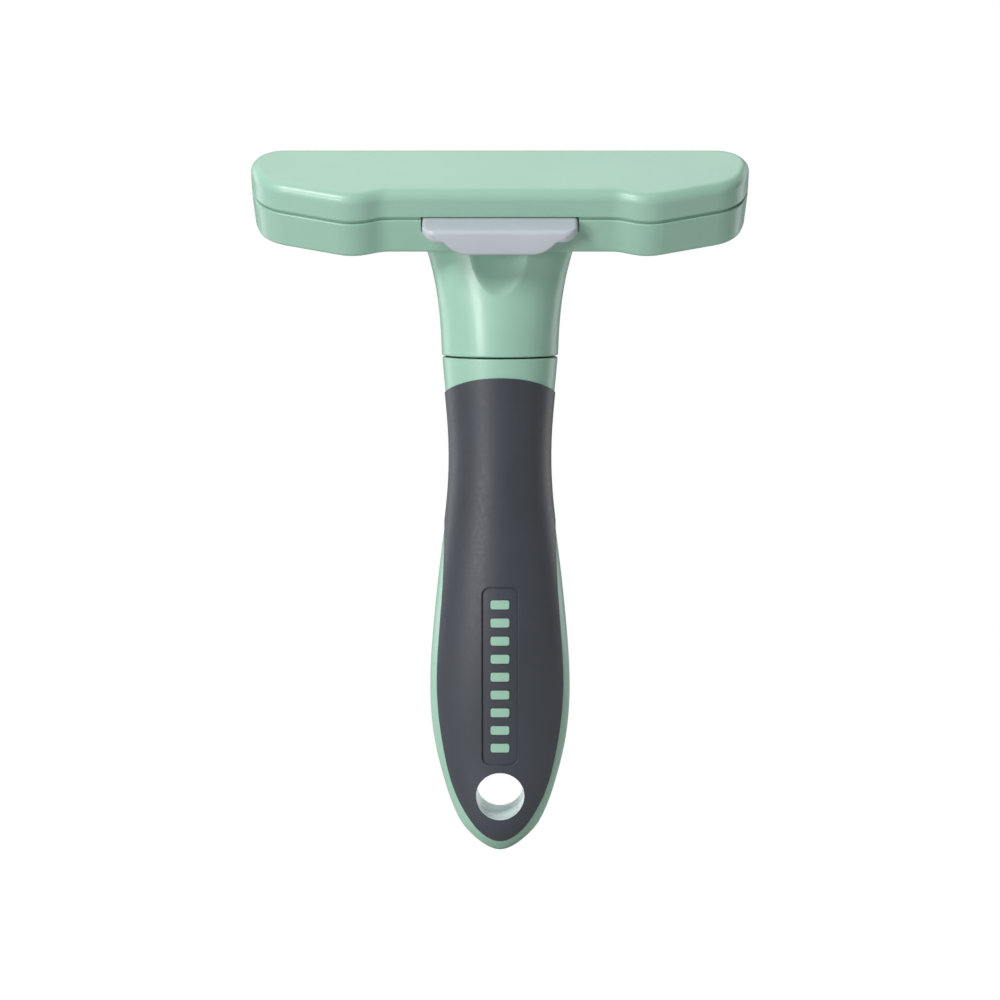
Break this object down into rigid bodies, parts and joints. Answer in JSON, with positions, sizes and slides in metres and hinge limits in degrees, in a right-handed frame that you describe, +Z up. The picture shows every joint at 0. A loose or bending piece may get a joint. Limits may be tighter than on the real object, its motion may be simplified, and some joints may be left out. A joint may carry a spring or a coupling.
{
  "type": "deshedding tool",
  "caption": "Pet deshedding tool: a wide toothed blade in a two-part head, a thumb button that wipes hair off the teeth, and a soft-grip handle with a hanging hole.",
  "frame": {"origin": "middle of the hanging hole in the handle's tail", "axes": "+Z up the handle to the head, +X to the right, -Y towards the thumb side with the button; the teeth point to +Y and +Z"},
  "size_m": [0.12, 0.0362, 0.1729],
  "materials": {
    "green_shell": "satin sage-green ABS",
    "dark_grip": "matte soft-touch overmould",
    "grey_button": "light grey satin",
    "ejector_plastic": "plain moulded",
    "blade_steel": "ground stainless",
    "clamp_steel": "plain sheet",
    "screw_steel": "zinc plated",
    "spring_steel": "drawn wire",
    "pin_steel": "ground"
  },
  "bodies": {
    "tool": {"head_body": "green_shell", "head_cover": "green_shell", "cover_screws": "screw_steel", "comb_blade": "blade_steel", "blade_clamp_left": "clamp_steel", "blade_clamp_right": "clamp_steel", "blade_screws": "screw_steel", "spring_pin_left": "pin_steel", "spring_pin_right": "pin_steel", "handle_front": "green_shell", "handle_back": "green_shell", "grip_front": "dark_grip", "grip_back": "dark_grip", "tongue_screws": "screw_steel", "handle_screw": "screw_steel"},
    "pusher": {"push_button": "grey_button", "ejector_bar": "ejector_plastic", "ejector_screws": "screw_steel", "return_spring_left": "spring_steel", "return_spring_right": "spring_steel"}
  },
  "joints": [
    {"name": "push", "type": "slide", "parent": "tool", "child": "pusher", "axis": [0, 0.8829, 0.4695], "range_m": [0, 0.005], "stiffness_N_per_m": 500, "springref_m": -0.004, "deforming": ["return_spring_left", "return_spring_right"]}
  ]
}
